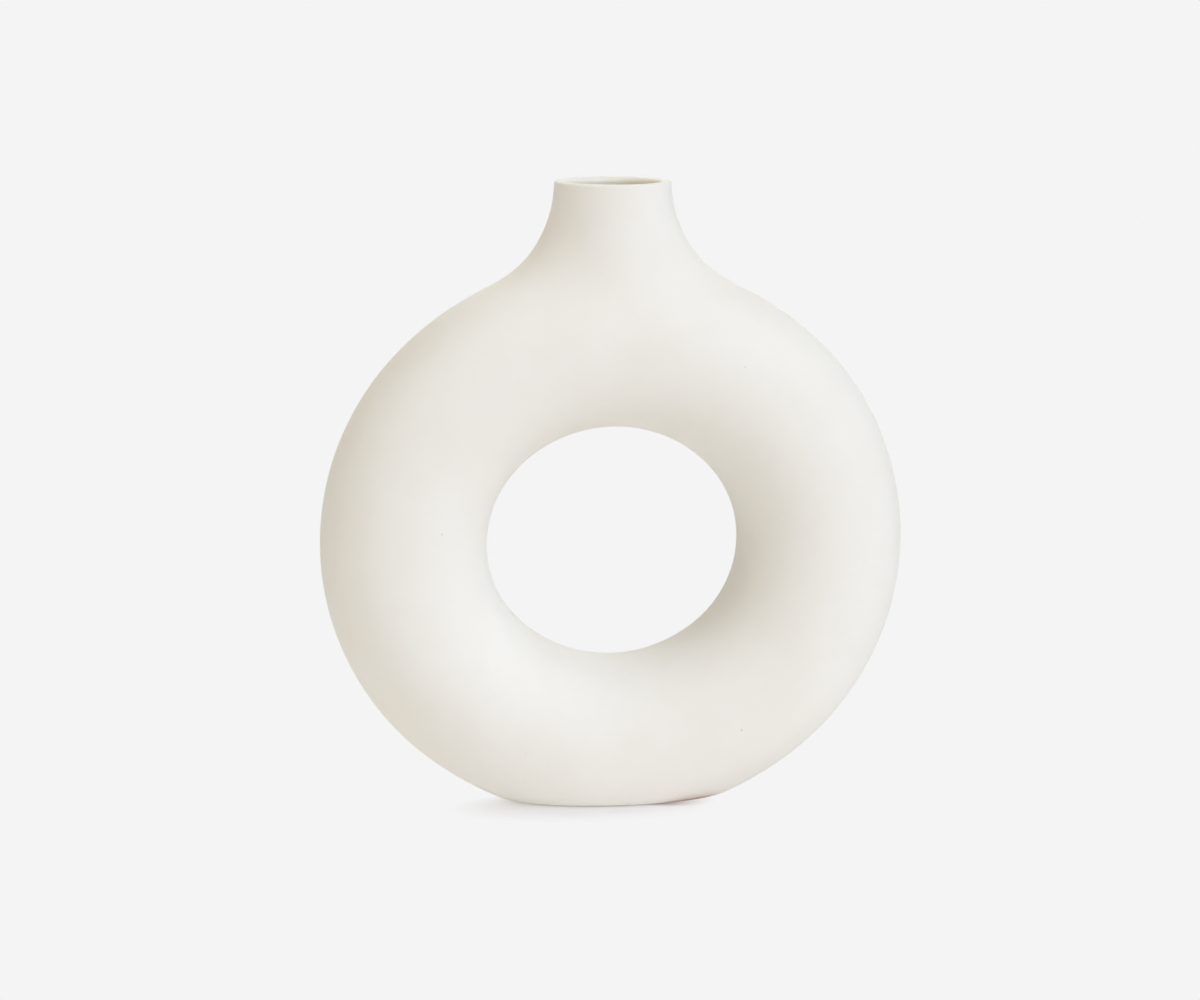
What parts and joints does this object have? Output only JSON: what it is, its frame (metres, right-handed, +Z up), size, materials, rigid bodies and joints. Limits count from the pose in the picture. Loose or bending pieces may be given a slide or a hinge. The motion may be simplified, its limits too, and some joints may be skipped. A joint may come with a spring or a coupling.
{
  "type": "donut vase",
  "caption": "Upright ring-shaped stoneware vase with an open centre, a hollow tube for water, a short flared neck at the crown and a flat foot.",
  "frame": {"origin": "middle of the foot's flat underside, on the table, straight below the centre of the hole", "axes": "+Z up through the neck, +X to the right seen from the front, the hole runs along Y and the front faces -Y"},
  "size_m": [0.236, 0.067, 0.25],
  "materials": {
    "stoneware": "matte off-white, fired bisque with a fine dry grain",
    "raw_foot": "matte off-white on the sides, bare rubbed clay on the underside",
    "slip": "the same matte clay, smoothed flush"
  },
  "bodies": {
    "root": {"ring_front_shell": "stoneware", "ring_rear_shell": "stoneware", "neck_collar": "stoneware", "foot_slab": "raw_foot", "hole_lute": "slip", "outer_lute_left": "slip", "outer_lute_right": "slip", "neck_lute": "slip", "foot_lute": "slip"}
  },
  "joints": []
}
